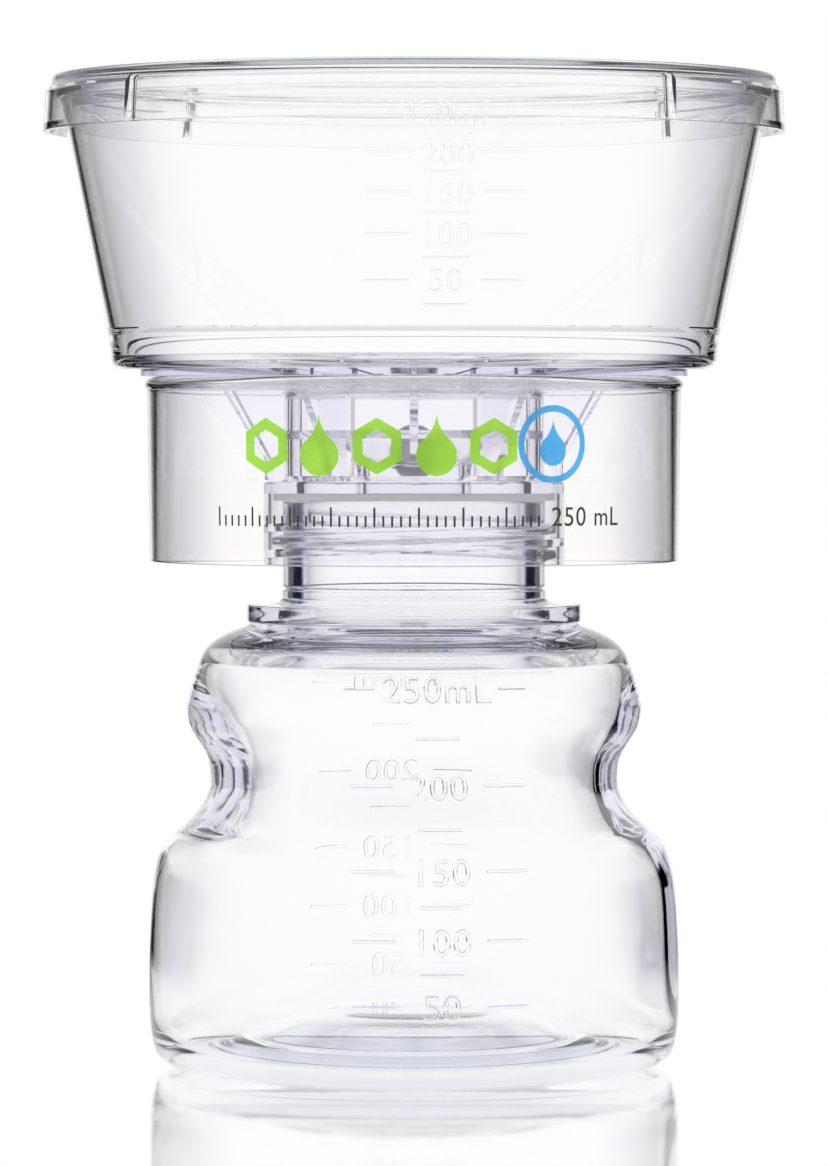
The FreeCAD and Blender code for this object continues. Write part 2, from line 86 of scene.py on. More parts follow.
class Curve1:
    """Monotone cubic through (x, y) rows, for arrays."""

    def __init__(self, rows):
        self.x = np.array([r[0] for r in rows], float)
        self.y = np.array([r[1] for r in rows], float)
        h, d = np.diff(self.x), np.diff(self.y) / np.diff(self.x)
        m = np.zeros(len(self.x))
        m[0], m[-1] = d[0], d[-1]
        for i in range(1, len(m) - 1):
            if d[i - 1] * d[i] > 0:
                w1, w2 = 2 * h[i] + h[i - 1], h[i] + 2 * h[i - 1]
                m[i] = (w1 + w2) / (w1 / d[i - 1] + w2 / d[i])
        self.h, self.m = h, m

    def __call__(self, x):
        x = np.clip(np.asarray(x, float), self.x[0], self.x[-1])
        i = np.clip(np.searchsorted(self.x, x, side="right") - 1, 0, len(self.h) - 1)
        h = self.h[i]
        t = (x - self.x[i]) / h
        return ((2 * t**3 - 3 * t**2 + 1) * self.y[i] + (t**3 - 2 * t**2 + t) * h * self.m[i]
                + (-2 * t**3 + 3 * t**2) * self.y[i + 1] + (t**3 - t**2) * h * self.m[i + 1])


def smooth_rows(rows, rounds=2, step=0.35):
    """A (z, r) line resampled finely by length and eased, so that no kink is left in it."""
    p = np.array(rows, float)
    s = np.concatenate([[0], np.cumsum(np.hypot(*np.diff(p, axis=0).T))])
    cz, cr = Curve1(list(zip(s, p[:, 0]))), Curve1(list(zip(s, p[:, 1])))
    n = max(4, int(round(s[-1] / step)))
    t = np.linspace(0, s[-1], n + 1)
    q = np.stack([cz(t), cr(t)], 1)
    for _ in range(rounds):
        q[1:-1] = 0.25 * q[:-2] + 0.5 * q[1:-1] + 0.25 * q[2:]
    return q


side_c, panel_c = Curve1(SIDE_PROFILE), Curve1(PANEL_PROFILE)


def grip_share(az):
    a = np.abs((np.asarray(az, float) + 180.0) % 360.0 - 180.0)
    a = np.minimum(a, 180.0 - a)
    t = np.clip((a - GRIP_FROM) / (GRIP_TO - GRIP_FROM), 0.0, 1.0)
    return t * t * (3 - 2 * t)


def ease(x, a, b):
    t = np.clip((np.asarray(x, float) - a) / (b - a), 0.0, 1.0)
    return t * t * (3 - 2 * t)


def thicker(az, z):
    """How much more than WALL the blown wall measures: most at the two grips; lower down, more on the right than on the left."""
    a = (np.asarray(az, float) + 180.0) % 360.0 - 180.0
    side = np.abs(np.abs(a) - 90.0)                     # degrees from the middle of the nearer grip
    grip = ease(z, 28.0, 42.0) * (1.0 - ease(z, 52.0, 62.9))
    low = ease(z, 6.0, 16.0) * (1.0 - ease(z, 30.0, 44.0))
    return 1.3 * grip * (1.0 - ease(side, 8.0, 40.0)) + low * (1.0 - ease(side, 3.0, 26.0)) * np.where(a > 0, 0.7, -0.35)


def mid_radius(az, z, inset=0.0):
    """Radius of the bottle's body between the base corner and the shoulder."""
    def one(c):
        r = c(z)
        if inset:
            za, zb = np.maximum(z - 0.25, MID_Z0), np.minimum(z + 0.25, MID_Z1)
            r = r - inset * np.sqrt(1 + ((c(zb) - c(za)) / (zb - za)) ** 2)
        return r
    w = grip_share(az)
    r = one(panel_c) * (1 - w) + one(side_c) * w
    return r - thicker(az, z) if inset else r


# ---------------------------------------------------------------- mesh tools
def add_object(name, verts, faces, body, material, normals=None, replaced=(), smooth=True):
    """verts in mm; normals one per face corner, or None."""
    me = bpy.data.meshes.new(name)
    me.from_pydata((np.asarray(verts, float) * MM).tolist(), [], faces)
    me.update()
    if smooth:
        me.shade_smooth()
    if normals is not None:
        me.normals_split_custom_set([tuple(n) for n in normals])
    ob = bpy.data.objects.new(name, me)
    sc.collection.objects.link(ob)
    me.materials.append(material)
    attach(ob, body)
    if replaced:
        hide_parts(*replaced)
    return ob


class Row:
    """One ring of a turned surface. r is a number or an array over the columns; na and nb are the (nr, nz) normals
    of the strip before it and after it, or None where they come from the surface itself."""

    def __init__(self, r, z, na=None, nb=None):
        self.r, self.z, self.na, self.nb = r, z, na, (na if nb is None else nb)


def unit2(a):
    a = np.asarray(a, float)
    return a / max(np.hypot(*a), 1e-12)


def rounded(corners, closed=False):
    """Rows along corners of a solid's (r, z) outline, walked with the solid on the left.
    A corner is (r, z) for a sharp one, (r, z, fillet) for a rounded one, and (r, z, "s") for a point of a smooth curve."""
    n = len(corners)
    pts = [np.array(c[:2], float) for c in corners]
    rows = []
    for i, c in enumerate(corners):
        here = pts[i]
        has_prev, has_next = closed or i > 0, closed or i < n - 1
        d_in = unit2(here - pts[i - 1]) if has_prev else None
        d_out = unit2(pts[(i + 1) % n] - here) if has_next else None
        if d_in is None:
            d_in = d_out
        if d_out is None:
            d_out = d_in
        n_in, n_out = (d_in[1], -d_in[0]), (d_out[1], -d_out[0])
        kind = c[2] if len(c) > 2 else 0
        if kind == "s":
            la = np.hypot(*(here - pts[i - 1])) if has_prev else 1.0
            lb = np.hypot(*(pts[(i + 1) % n] - here)) if has_next else 1.0
            if max(la, lb) > 5.0 * min(la, lb):         # where a curve runs into a long straight side it is square to that side
                m = n_in if la > lb else n_out
            else:
                m = unit2(np.array(n_in) / la + np.array(n_out) / lb)
            rows.append(Row(here[0], here[1], tuple(m)))
        elif kind and kind > 0 and has_prev and has_next:
            cosang = float(np.clip(np.dot(-d_in, d_out), -1, 1))
            ang = math.acos(cosang)                     # inside angle between the two sides
            turn = math.pi - ang
            if turn < 1e-3:
                rows.append(Row(here[0], here[1], n_in))
                continue
            reach = kind / math.tan(ang / 2)
            lim = 0.48 * min(np.hypot(*(here - pts[i - 1])), np.hypot(*(pts[(i + 1) % n] - here)))
            f = kind if reach <= lim else kind * lim / reach
            reach = min(reach, lim)
            left = d_in[0] * d_out[1] - d_in[1] * d_out[0] > 0
            side = 1.0 if left else -1.0
            start = here - d_in * reach
            centre = start + side * f * np.array([-d_in[1], d_in[0]])
            steps = max(2, int(math.ceil(math.degrees(turn) / 15.0)))
            for k in range(steps + 1):
                a = turn * k / steps * side
                ca, sa = math.cos(a), math.sin(a)
                v = start - centre
                p = centre + np.array([ca * v[0] - sa * v[1], sa * v[0] + ca * v[1]])
                m = (p - centre) / f * side
                rows.append(Row(p[0], p[1], (m[0], m[1])))
        else:
            rows.append(Row(here[0], here[1], n_in, n_out))
    return rows


def walk_rows(rows_zr):
    """Rows for a smooth curve given as (z, r) points, with normals from its own run."""
    p = np.asarray(rows_zr, float)
    d = np.gradient(p, axis=0)
    out = []
    for (z, r), (dz, dr) in zip(p, d):
        m = unit2((dz, -dr))
        out.append(Row(r, z, (m[0], m[1])))
    return out


def azimuths(cols, turn=0.0):
    """Azimuth (deg from the piece's front towards +X) and angle about Z (rad) of each column."""
    az = np.arange(cols) * 360.0 / cols
    return az, np.radians(az - 90.0 + turn)


def turned(name, rows, body, material, cols=COLS, turn=0.0, closed=True, patches=(), replaced=(), azs=None, lie_at=None):
    """A solid made of rings. patches replace blocks of cells by finer work: see relief(). lie_at turns its axis to +Y at that height."""
    if azs is None:
        az, phi = azimuths(cols, turn)
    else:
        az = np.asarray(azs, float)
        phi = np.radians(az - 90.0 + turn)
        cols = len(az)
    m = len(rows)
    R = np.array([np.broadcast_to(np.asarray(row.r, float), (cols,)) for row in rows])
    Z = np.array([np.broadcast_to(np.asarray(row.z, float), (cols,)) for row in rows])
    P = np.stack([R * np.cos(phi), R * np.sin(phi), Z], -1)
    # across the columns
    nxt, prv = np.roll(P, -1, 1), np.roll(P, 1, 1)
    T = nxt - prv
    axis_row = R.max(1) < 1e-6
    T[axis_row] = np.stack([-np.sin(phi), np.cos(phi), 0 * phi], -1)
    # along the rows
    def along(lo, hi):
        return P[hi] - P[lo]
    NA, NB = np.zeros_like(P), np.zeros_like(P)
    cph, sph = np.cos(phi), np.sin(phi)
    for i, row in enumerate(rows):
        plain = row.na is None
        if plain:
            v = along(max(i - 1, 0) if not closed else i - 1, min(i + 1, m - 1) if not closed else (i + 1) % m)
            for N in (NA, NB):
                N[i] = np.cross(T[i], v)
        else:
            for N, nn in ((NA, row.na), (NB, row.nb)):
                v = np.stack([-nn[1] * cph, -nn[1] * sph, np.full(cols, nn[0])], -1)
                N[i] = np.cross(T[i], v)
    for N in (NA, NB):
        N /= np.maximum(np.linalg.norm(N, axis=-1, keepdims=True), 1e-12)
    verts, index = [], np.zeros((m, cols), int)
    for i in range(m):
        if axis_row[i]:
            index[i] = len(verts)
            verts.append(P[i, 0])
        else:
            index[i] = len(verts) + np.arange(cols)
            verts.extend(P[i])
    hidden = np.zeros((m, cols), bool)
    for p in patches:
        hidden[p["i0"]:p["i1"], [j % cols for j in range(p["j0"], p["j1"])]] = True
    faces, normals = [], []
    for i in range(m if closed else m - 1):
        k = (i + 1) % m
        if axis_row[i] and axis_row[k]:
            continue
        for j in range(cols):
            if hidden[i, j]:
                continue
            l = (j + 1) % cols
            if axis_row[i]:
                faces.append((index[i, 0], index[k, l], index[k, j]))
                n0 = NB[i, j]
                normals += [n0, NA[k, l], NA[k, j]]
            elif axis_row[k]:
                faces.append((index[i, j], index[i, l], index[k, 0]))
                normals += [NB[i, j], NB[i, l], NA[k, j]]
            else:
                faces.append((index[i, j], index[i, l], index[k, l], index[k, j]))
                normals += [NB[i, j], NB[i, l], NA[k, l], NA[k, j]]
    for p in patches:
        add_patch(p, rows, az, phi, P, NB, index, verts, faces, normals)
    if lie_at is not None:
        verts = [(v[0], v[2], lie_at - v[1]) for v in verts]
        normals = [(n[0], n[2], -n[1]) for n in normals]
    return add_object(name, verts, [tuple(int(q) for q in f) for f in faces], body, material, normals, replaced)


# ---------------------------------------------------------------- raised marks
def text_outlines(text, height):
    """Closed outlines of a line of figures in Blender's own font, centred, in mm: a list of (n, 2) arrays."""
    cu = bpy.data.curves.new("t", "FONT")
    cu.body = text
    cu.size = 1.0
    cu.align_x = "CENTER"
    cu.space_character = 1.08
    ob = bpy.data.objects.new("t", cu)
    sc.collection.objects.link(ob)
    bpy.context.view_layer.update()
    curve = ob.to_curve(bpy.context.evaluated_depsgraph_get())
    loops = []
    for s in curve.splines:
        if s.type != "BEZIER":
            loops.append(np.array([p.co[:2] for p in s.points], float))
            continue
        pts, bp = [], s.bezier_points
        for a, b in zip(bp, list(bp[1:]) + [bp[0]]):
            p0, p1, p2, p3 = (np.array(v[:2], float) for v in (a.co, a.handle_right, b.handle_left, b.co))
            flat = abs(np.cross(p3 - p0, p1 - p0)) + abs(np.cross(p3 - p0, p2 - p0)) < 1e-5
            n = 1 if flat else 5
            for k in range(n):
                t = k / n
                pts.append((1 - t) ** 3 * p0 + 3 * (1 - t) ** 2 * t * p1 + 3 * (1 - t) * t * t * p2 + t**3 * p3)
        q = [pts[0]]
        for v in pts[1:]:
            if np.hypot(*(v - q[-1])) > 1e-4:
                q.append(v)
        if np.hypot(*(q[0] - q[-1])) < 1e-4:
            q.pop()
        loops.append(np.array(q))
    ob.to_curve_clear()
    bpy.data.objects.remove(ob)
    bpy.data.curves.remove(cu)
    low = min(l[:, 1].min() for l in loops)
    high = max(l[:, 1].max() for l in loops)
    k = height / (high - low)
    mid = (low + high) / 2
    return [np.stack([l[:, 0] * k, (l[:, 1] - mid) * k], 1) for l in loops]


def area2(l):
    x, y = l[:, 0], l[:, 1]
    return 0.5 * float(np.sum(x * np.roll(y, -1) - np.roll(x, -1) * y))


def cut_long(l, step):
    """The same outline with no side longer than step."""
    out = []
    for a, b in zip(l, np.roll(l, -1, 0)):
        n = max(1, int(math.ceil(np.hypot(*(b - a)) / step)))
        for k in range(n):
            out.append(a + (b - a) * k / n)
    return np.array(out)


def outward(l, sign):
    """The way out of the filled side at each point of an outline, mitred."""
    d1 = l - np.roll(l, 1, 0)
    d2 = np.roll(l, -1, 0) - l
    d1 /= np.maximum(np.linalg.norm(d1, axis=1, keepdims=True), 1e-9)
    d2 /= np.maximum(np.linalg.norm(d2, axis=1, keepdims=True), 1e-9)
    n1 = np.stack([d1[:, 1], -d1[:, 0]], 1) * sign
    n2 = np.stack([d2[:, 1], -d2[:, 0]], 1) * sign
    n = n1 + n2
    n /= np.maximum(np.linalg.norm(n, axis=1, keepdims=True), 1e-9)
    c = np.maximum(np.sum(n * n1, axis=1), 0.75)
    return n, 1.0 / c


def bar(w, h, x=0.0, y=0.0):
    """A round-ended bar's outline."""
    r = h / 2
    pts = [(x + w / 2 - r + r * math.cos(t), y + r * math.sin(t)) for t in np.linspace(-math.pi / 2, math.pi / 2, 6)]
    pts += [(x - w / 2 + r - r * math.cos(t), y - r * math.sin(t)) for t in np.linspace(-math.pi / 2, math.pi / 2, 6)]
    return cut_long(np.array(pts), 0.9)


def rings_of(loops, width):
    """Three nested rings for each outline: foot, flank and top, with the way the flank faces."""
    big = max(loops, key=lambda l: abs(area2(l)))
    sign = 1.0 if area2(big) > 0 else -1.0
    out = []
    for l in loops:
        n, k = outward(l, sign)
        out.append([(l + n * (width * o * k)[:, None], n) for o in (0.5, 0.0, -0.5)])
    return out


def relief(marks, i0, i1, j0, j1, height, place, keep=0.33):
    """A block of cells (rows i0..i1, columns j0..j1) with raised marks. marks are (rings, az, z): rings in mm about
    a point at azimuth az and height z. place(az, z) gives positions and normals on the plain surface."""
    return {"marks": marks, "i0": i0, "i1": i1, "j0": j0, "j1": j1, "height": height, "place": place, "keep": keep}


def add_patch(p, rows, az, phi, P, NB, index, verts, faces, normals):
    i0, i1, j0, j1 = p["i0"], p["i1"], p["j0"], p["j1"]
    cols = len(az)
    step = 360.0 / cols
    K = 0.62                                     # mm a degree, for the flat layout
    place = p["place"]
    pts, ids, hs, kinds = [], [], [], []         # flat point, its mesh vertex or -1, height share, ring kind
    edges = []
    zs = [float(np.mean(rows[i].z)) for i in range(i0, i1 + 1)]
    js = list(range(j0, j1 + 1))
    # the block's own border
    border = [(i0, j) for j in js] + [(i, j1) for i in range(i0 + 1, i1 + 1)]
    border += [(i1, j) for j in js[::-1][1:]] + [(i, j0) for i in range(i1 - 1, i0, -1)]
    for i, j in border:
        pts.append((j * step * K, zs[i - i0]))
        ids.append(int(index[i, j % cols]))
    nb = len(border)
    edges += [(k, (k + 1) % nb) for k in range(nb)]
    # rings
    flat, tilt, share = [], [], []
    for rings, a0, z0 in p["marks"]:
        _, _, R0 = place(np.array([a0]), np.array([z0]))
        deg = 1.0 / (R0[0] * math.pi / 180.0)    # degrees a mm here
        for trio in rings:
            for kind, (l, n) in enumerate(trio):
                start = len(pts) + len(flat)
                q = np.stack([(a0 + l[:, 0] * deg) * K, z0 + l[:, 1]], 1)
                flat.extend(q.tolist())
                tilt.extend(n.tolist())
                share.extend([[0.0, 0.5, 1.0][kind]] * len(q))
                edges += [(start + k, start + (k + 1) % len(q)) for k in range(len(q))]
    flat = np.array(flat)
    # cell corners that stand clear of every ring
    free = []
    for i in range(i0 + 1, i1):
        for j in range(j0 + 1, j1):
            free.append((j * step * K, zs[i - i0], int(index[i, j % cols])))
    fr = np.array([f[:2] for f in free])
    clear = np.ones(len(fr), bool)
    for s in range(0, len(fr), 400):
        d = np.linalg.norm(fr[s:s + 400, None, :] - flat[None], axis=2).min(1)
        clear[s:s + 400] = d > p["keep"]
    ring_start = len(pts)
    pts += flat.tolist()
    ids += [-1] * len(flat)
    for k, f in enumerate(free):
        if clear[k]:
            pts.append(f[:2])
            ids.append(f[2])
    out = delaunay_2d_cdt([Vector(q) for q in pts], edges, [], 0, 1e-5, True)
    co, tris, orig = out[0], out[2], out[3]
    local = {}
    nv = {}
    new_co = np.array([[c[0], c[1]] for c in co])
    a_deg, zz = new_co[:, 0] / K, new_co[:, 1]
    pos, nor, _ = place(a_deg, zz)
    inv = {}
    used = set(int(t) for f in tris for t in f)
    for v in sorted(used):
        src = [o for o in orig[v]] if v < len(orig) else []
        on_grid = [o for o in src if ids[o] >= 0]
        if on_grid:
            local[v] = ids[on_grid[0]]
            nv[v] = nor[v]
            continue
        ring = [o - ring_start for o in src if ring_start <= o < ring_start + len(flat)]
        if ring:
            h, t2 = share[ring[0]], np.array(tilt[ring[0]])
        else:
            near = int(np.argmin(np.linalg.norm(flat - new_co[v], axis=1)))
            h, t2 = share[near], np.array(tilt[near])
        n0 = nor[v]
        # the surface's own directions at this point
        up = np.array([0, 0, 1.0]) - n0 * n0[2]
        up /= np.linalg.norm(up)
        right = np.cross(up, n0)
        if 0.25 < h < 0.75:
            slope = 1.35 * p["height"] / p["width"]
            n1 = n0 + (right * t2[0] + up * t2[1]) * slope
            n1 /= np.linalg.norm(n1)
        else:
            n1 = n0
        local[v] = len(verts)
        verts.append(pos[v] + n0 * (p["height"] * h))
        nv[v] = n1
    for f in tris:
        a, b, c = (int(t) for t in f)
        ar = (new_co[b, 0] - new_co[a, 0]) * (new_co[c, 1] - new_co[a, 1]) - (new_co[c, 0] - new_co[a, 0]) * (new_co[b, 1] - new_co[a, 1])
        if abs(ar) < 1e-9:
            continue
        if ar < 0:
            b, c = c, b
        tri = (local[a], local[b], local[c])
        if len(set(tri)) < 3:
            continue
        faces.append(tri)
        normals += [nv[a], nv[b], nv[c]]


# ---------------------------------------------------------------- materials
def socket(node, name):
    return node.inputs[name]


def new_material(name):
    mat = bpy.data.materials.new(name)
    mat.use_nodes = True
    nt = mat.node_tree
    nt.nodes.clear()
    out = nt.nodes.new("ShaderNodeOutputMaterial")
    bsdf = nt.nodes.new("ShaderNodeBsdfPrincipled")
    nt.links.new(bsdf.outputs[0], out.inputs["Surface"])
    return mat, nt, bsdf, out


def coords(nt, scale):
    """Object coordinates, stretched."""
    tc = nt.nodes.new("ShaderNodeTexCoord")
    mp = nt.nodes.new("ShaderNodeMapping")
    mp.inputs["Scale"].default_value = scale
    nt.links.new(tc.outputs["Object"], mp.inputs["Vector"])
    return mp.outputs[0]


def noise(nt, vec, scale, detail=3.0, rough=0.5):
    n = nt.nodes.new("ShaderNodeTexNoise")
    n.inputs["Scale"].default_value = scale
    n.inputs["Detail"].default_value = detail
    n.inputs["Roughness"].default_value = rough
    nt.links.new(vec, n.inputs["Vector"])
    return n.outputs["Fac"]


def span(nt, fac, lo, hi, f0=0.0, f1=1.0):
    m = nt.nodes.new("ShaderNodeMapRange")
    m.inputs["From Min"].default_value, m.inputs["From Max"].default_value = f0, f1
    m.inputs["To Min"].default_value, m.inputs["To Max"].default_value = lo, hi
    nt.links.new(fac, m.inputs["Value"])
    return m.outputs[0]


def tint(nt, fac, a, b):
    m = nt.nodes.new("ShaderNodeMix")
    m.data_type = "RGBA"
    m.inputs[6].default_value = (*a, 1)
    m.inputs[7].default_value = (*b, 1)
    nt.links.new(fac, m.inputs[0])
    return m.outputs[2]


def bump(nt, height, distance, strength=1.0, normal=None):
    b = nt.nodes.new("ShaderNodeBump")
    b.inputs["Strength"].default_value = strength
    b.inputs["Distance"].default_value = distance
    nt.links.new(height, b.inputs["Height"])
    if normal is not None:
        nt.links.new(normal, b.inputs["Normal"])
    return b.outputs[0]


def clear_plastic(name, ior, base=(1, 1, 1), base2=None, rough=(0.0, 0.03), wave=None, fine=None, density=None, colour=(1, 1, 1), rough_scale=40.0):
    """Clear moulded or blown plastic. wave and fine are (stretch, scale, height in m) of the faint unevenness of its skin."""
    mat, nt, bsdf, out = new_material(name)
    bsdf.inputs["Base Color"].default_value = (*base, 1)
    bsdf.inputs["Transmission Weight"].default_value = 1.0
    bsdf.inputs["IOR"].default_value = ior
    v = coords(nt, (1, 1, 1))
    if base2 is not None:
        nt.links.new(tint(nt, span(nt, noise(nt, v, 22.0, 2.0), 0, 1, 0.35, 0.65), base, base2), bsdf.inputs["Base Color"])
    nt.links.new(span(nt, noise(nt, v, rough_scale, 1.0), rough[0], rough[1], 0.35, 0.7), bsdf.inputs["Roughness"])
    normal = None
    for w in (wave, fine):
        if w:
            stretch, scale, height = w
            normal = bump(nt, noise(nt, coords(nt, stretch), scale, 0.0), height, 1.0, normal)
    if normal is not None:
        nt.links.new(normal, bsdf.inputs["Normal"])
    if density:
        ab = nt.nodes.new("ShaderNodeVolumeAbsorption")
        ab.inputs["Color"].default_value = (*colour, 1)
        ab.inputs["Density"].default_value = density
        nt.links.new(ab.outputs[0], out.inputs["Volume"])
    return mat


mat_bottle = clear_plastic("bottle_pet", 1.57, rough=(0.0, 0.012), wave=((1, 1, 0.45), 55.0, 0.000012),
                           density=8.0, colour=(0.32, 0.31, 0.74))
mat_funnel = clear_plastic("funnel_ps", 1.58, rough=(0.0, 0.01), wave=((1, 1, 0.3), 25.0, 0.000012),
                           density=12.0, colour=(0.52, 0.56, 0.58))
mat_lid = clear_plastic("lid_ps", 1.58, rough=(0.0, 0.012), wave=((1, 1, 1), 30.0, 0.000012),
                        density=12.0, colour=(0.52, 0.54, 0.60))
mat_skirt = clear_plastic("skirt_ps", 1.58, rough=(0.005, 0.03), wave=((1, 1, 0.5), 40.0, 0.00001),
                          density=10.0, colour=(0.62, 0.60, 0.66))
mat_base = clear_plastic("lavender_plastic", 1.10, base=(0.97, 0.965, 0.99), base2=(0.985, 0.98, 1.0), rough=(0.04, 0.10),
                         fine=((1, 1, 1), 500.0, 0.000002), density=20.0, colour=(0.70, 0.66, 0.86))


def solid_plastic(name, a, b, rough=(0.4, 0.55), scale=300.0, height=0.00002, subsurface=0.0):
    mat, nt, bsdf, out = new_material(name)
    v = coords(nt, (1, 1, 1))
    n = noise(nt, v, scale, 4.0)
    nt.links.new(tint(nt, span(nt, n, 0, 1, 0.3, 0.7), a, b), bsdf.inputs["Base Color"])
    nt.links.new(span(nt, noise(nt, v, scale * 0.35, 3.0), rough[0], rough[1], 0.3, 0.7), bsdf.inputs["Roughness"])
    nt.links.new(bump(nt, n, height), bsdf.inputs["Normal"])
    if subsurface:
        bsdf.inputs["Subsurface Weight"].default_value = subsurface
        bsdf.inputs["Subsurface Radius"].default_value = (0.004, 0.004, 0.004)
    return mat


mat_seal = solid_plastic("seal_silicone", (0.80, 0.80, 0.82), (0.88, 0.88, 0.90), (0.45, 0.6))
mat_wad = solid_plastic("fibre_wad", (0.82, 0.81, 0.78), (0.95, 0.94, 0.92), (0.8, 0.95), 2200.0, 0.00012)
mat_nozzle = solid_plastic("nozzle_plastic", (0.72, 0.70, 0.80), (0.78, 0.76, 0.86), (0.3, 0.42), 240.0, 0.00001)
mat_membrane = solid_plastic("membrane_film", (0.94, 0.94, 0.945), (0.985, 0.985, 0.98), (0.7, 0.85), 3000.0, 0.00001)
painted_glow = mat_membrane.node_tree.nodes["Principled BSDF"].inputs
painted_glow["Emission Color"].default_value = (1.0, 1.0, 0.99, 1)
painted_glow["Emission Strength"].default_value = 0.28                   # painted glow: the film emits light of its own, standing in for light that comes up through the thin film


# the label film is a pale cream polymer that lets light through
mat_label, nt, bsdf, out = new_material("label_film")
v = coords(nt, (1, 1, 1))
nt.links.new(tint(nt, noise(nt, v, 900.0, 3.0), (0.965, 0.955, 0.93), (0.99, 0.98, 0.955)), bsdf.inputs["Base Color"])
bsdf.inputs["Transmission Weight"].default_value = 1.0
bsdf.inputs["Roughness"].default_value = 0.3
bsdf.inputs["IOR"].default_value = 1.04
nt.links.new(bump(nt, noise(nt, v, 1800.0, 3.0), 0.00001), bsdf.inputs["Normal"])


def ink(name, a, b):
    mat, nt, bsdf, out = new_material(name)
    v = coords(nt, (1, 1, 1))
    nt.links.new(tint(nt, span(nt, noise(nt, v, 1500.0, 3.0), 0, 1, 0.35, 0.65), a, b), bsdf.inputs["Base Color"])
    bsdf.inputs["Transmission Weight"].default_value = 0.72
    bsdf.inputs["IOR"].default_value = 1.15
    nt.links.new(span(nt, noise(nt, v, 700.0, 2.0), 0.25, 0.4), bsdf.inputs["Roughness"])
    return mat


mat_green = ink("print_green", (0.50, 0.92, 0.10), (0.56, 0.96, 0.14))
mat_blue = ink("print_blue", (0.13, 0.58, 0.98), (0.17, 0.63, 1.0))
mat_black = solid_plastic("print_black", (0.012, 0.012, 0.014), (0.03, 0.03, 0.034), (0.4, 0.6), 1500.0, 0.000004)


# ---------------------------------------------------------------- receiver bottle
def spline_through(points, step=0.4):
    """Natural cubic through (r, z) points by chord length, sampled evenly; returns (r, z) rows."""
    p = np.array(points, float)
    s = np.concatenate([[0], np.cumsum(np.hypot(*np.diff(p, axis=0).T))])
    n = len(s)
    h = np.diff(s)
    A, B = np.zeros((n, n)), np.zeros((n, 2))
    A[0, 0] = A[-1, -1] = 1
    for i in range(1, n - 1):
        A[i, i - 1], A[i, i], A[i, i + 1] = h[i - 1], 2 * (h[i - 1] + h[i]), h[i]
        B[i] = 6 * ((p[i + 1] - p[i]) / h[i] - (p[i] - p[i - 1]) / h[i - 1])
    M = np.linalg.solve(A, B)
    t = np.linspace(0, s[-1], max(3, int(round(s[-1] / step)) + 1))
    i = np.clip(np.searchsorted(s, t, side="right") - 1, 0, n - 2)
    hi, a, b = h[i][:, None], (s[i + 1] - t)[:, None], (t - s[i])[:, None]
    return (M[i] * a**3 + M[i + 1] * b**3) / (6 * hi) + (p[i] / hi - M[i] * hi / 6) * a + (p[i + 1] / hi - M[i + 1] * hi / 6) * b


az_b, phi_b = azimuths(COLS, BOTTLE_TURN)
low_out = smooth_rows(LOW_PROFILE, 3, 0.45)          # (z, r)
top_out = smooth_rows(TOP_PROFILE, 3, 0.4)
low_in = smooth_rows(LOW_INNER, 3, 0.45)
top_in = smooth_rows(TOP_INNER, 2, 0.4)
low_out_c, low_in_c = Curve1([tuple(q) for q in low_out[low_out[:, 0] > 1.5]]), Curve1([tuple(q) for q in low_in[low_in[:, 0] > 2.5]])


def bottle_outer(az, z):
    return np.where(z < MID_Z0, low_out_c(z), mid_radius(az, z))


def bottle_place(az, z):
    """Point, normal and radius of the bottle's plain outer skin."""
    az, z = np.asarray(az, float), np.asarray(z, float)
    def at(a, h):
        r = bottle_outer(a, h)
        f = np.radians(a - 90.0 + BOTTLE_TURN)
        return np.stack([r * np.cos(f), r * np.sin(f), h], -1)
    p = at(az, z)
    n = np.cross(at(az + 0.2, z) - at(az - 0.2, z), at(az, z + 0.05) - at(az, z - 0.05))
    n /= np.linalg.norm(n, axis=-1, keepdims=True)
    return p, n, bottle_outer(az, z)


def thread_radius(root, crest, half_root, half_crest, z0, turns, start_deg, z, phi_deg):
    """Radius at height z and angle phi of a wall with a helical ridge that starts at z0 at start_deg and climbs with the angle."""
    best = np.zeros(np.shape(phi_deg))
    for k in range(-1, int(turns) + 2):
        along = (phi_deg - start_deg) % 360.0 / 360.0 + k
        inside = (along >= 0) & (along <= turns)
        zc = z0 + PITCH * along
        d = np.abs(z - zc)
        lift = np.clip((half_root - d) / (half_root - half_crest), 0, 1)
        lift = lift * lift * (3 - 2 * lift)
        ends = np.clip(np.minimum(along, turns - along) / 0.02, 0, 1)
        best = np.maximum(best, np.where(inside, lift * ends, 0))
    return root + (crest - root) * best


deg_b = np.degrees(phi_b)
rows = [Row(0.0, 7.45, (0.0, -1.0)), Row(3.0, 7.45, (0.0, -1.0)), Row(7.0, 7.5, (0.012, -1.0)), Row(10.5, 7.58, (0.01, -1.0))]
under = spline_through([(12.5, 7.6), (15.2, 7.45), (17.8, 6.8), (21.5, 5.2), (26.8, 3.1), (29.2, 1.7), (30.4, 0.5), (31.6, 0.0)], 0.5)
rows += walk_rows(under[:, ::-1])[:-1]
rows += [Row(31.7, 0.0, (0.0, -1.0)), Row(32.8, 0.0, (0.0, -1.0)), Row(33.9, 0.0, (0.0, -1.0))]
rows += walk_rows(low_out)[1:-1]
i_patch0 = min(range(len(rows)), key=lambda i: abs(np.mean(rows[i].z) - 9.5))
mid_z = np.linspace(MID_Z0, MID_Z1, 54)
for z in mid_z:
    rows.append(Row(mid_radius(az_b, z), z))
i_patch1 = min(range(len(rows)), key=lambda i: abs(np.mean(rows[i].z) - 62.8))
rows += walk_rows(top_out)[1:]
